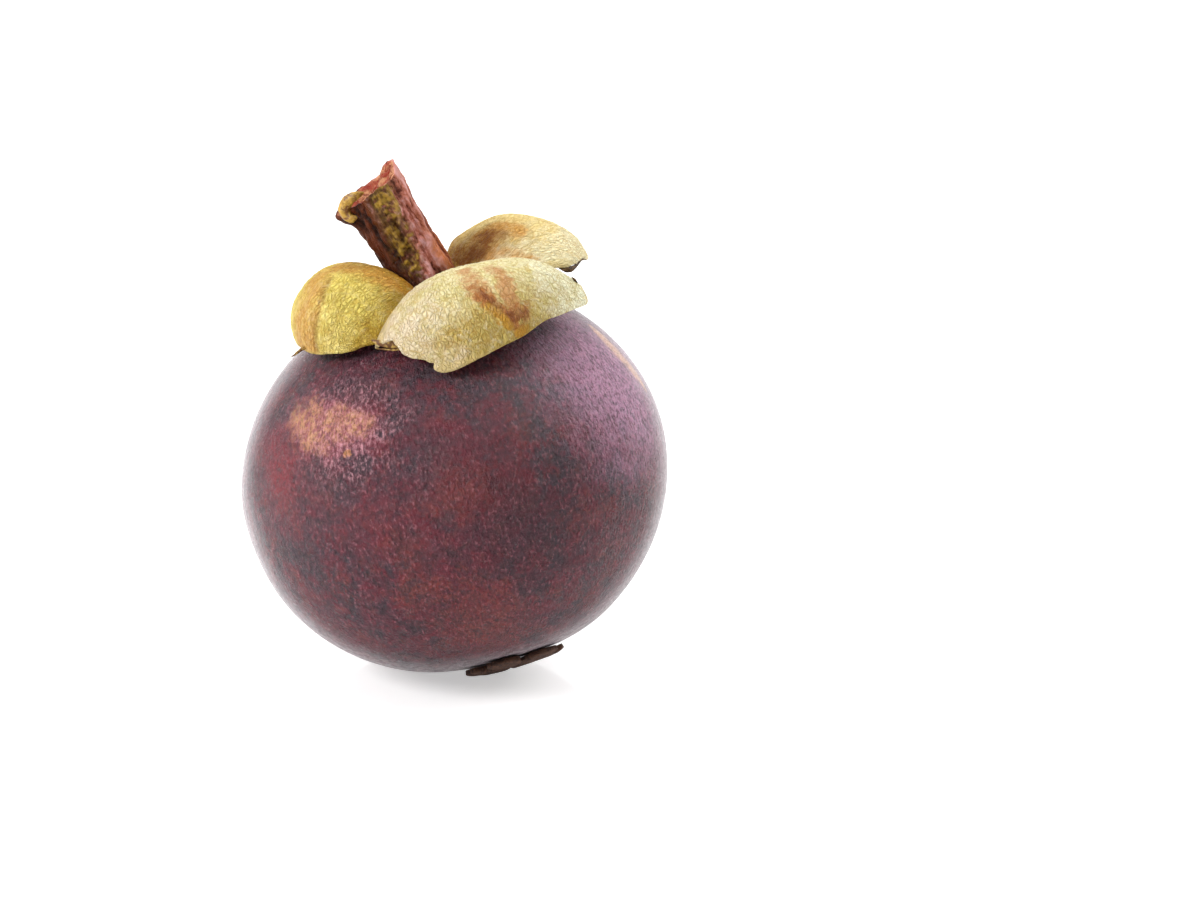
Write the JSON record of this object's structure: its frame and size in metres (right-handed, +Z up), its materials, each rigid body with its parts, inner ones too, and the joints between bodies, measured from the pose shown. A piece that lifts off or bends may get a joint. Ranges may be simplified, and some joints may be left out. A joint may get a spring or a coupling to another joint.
{
  "type": "mangosteen",
  "caption": "Whole mangosteen: a round fruit with a leathery rind, a short woody stem, curled sepals and a lobed rosette underneath, resting on a small flat spot.",
  "frame": {"origin": "middle of the small flat spot that the fruit rests on, straight below the middle of the rind", "axes": "+Z up from the resting surface; the fruit's own axis leans from +Z towards -X and a little towards +Y, with the stem above and the stigma rosette low on the +X, -Y side; +Y away from the viewer of the front view, +X to that viewer's right"},
  "size_m": [0.0614, 0.0616, 0.0748],
  "materials": {
    "rind": "dark purple-brown rind with red and rusty mottling, fine striations and a waxy gloss",
    "stem": "wrinkled red-brown bark with mauve and olive patches and a torn end",
    "stigma": "dry dark brown, matt",
    "sepal_front": "granular pale cream and yellow-green skin with a rusty stain",
    "sepal_left": "granular yellow-olive skin with an orange-tan stripe",
    "sepal_back_right": "granular tan and cream skin, brown towards the stem",
    "sepal_back_left": "granular pinkish beige skin"
  },
  "bodies": {
    "root": {"rind": "rind", "stem": "stem", "stigma": "stigma", "sepal_front": "sepal_front", "sepal_left": "sepal_left", "sepal_back_right": "sepal_back_right", "sepal_back_left": "sepal_back_left"}
  },
  "joints": []
}
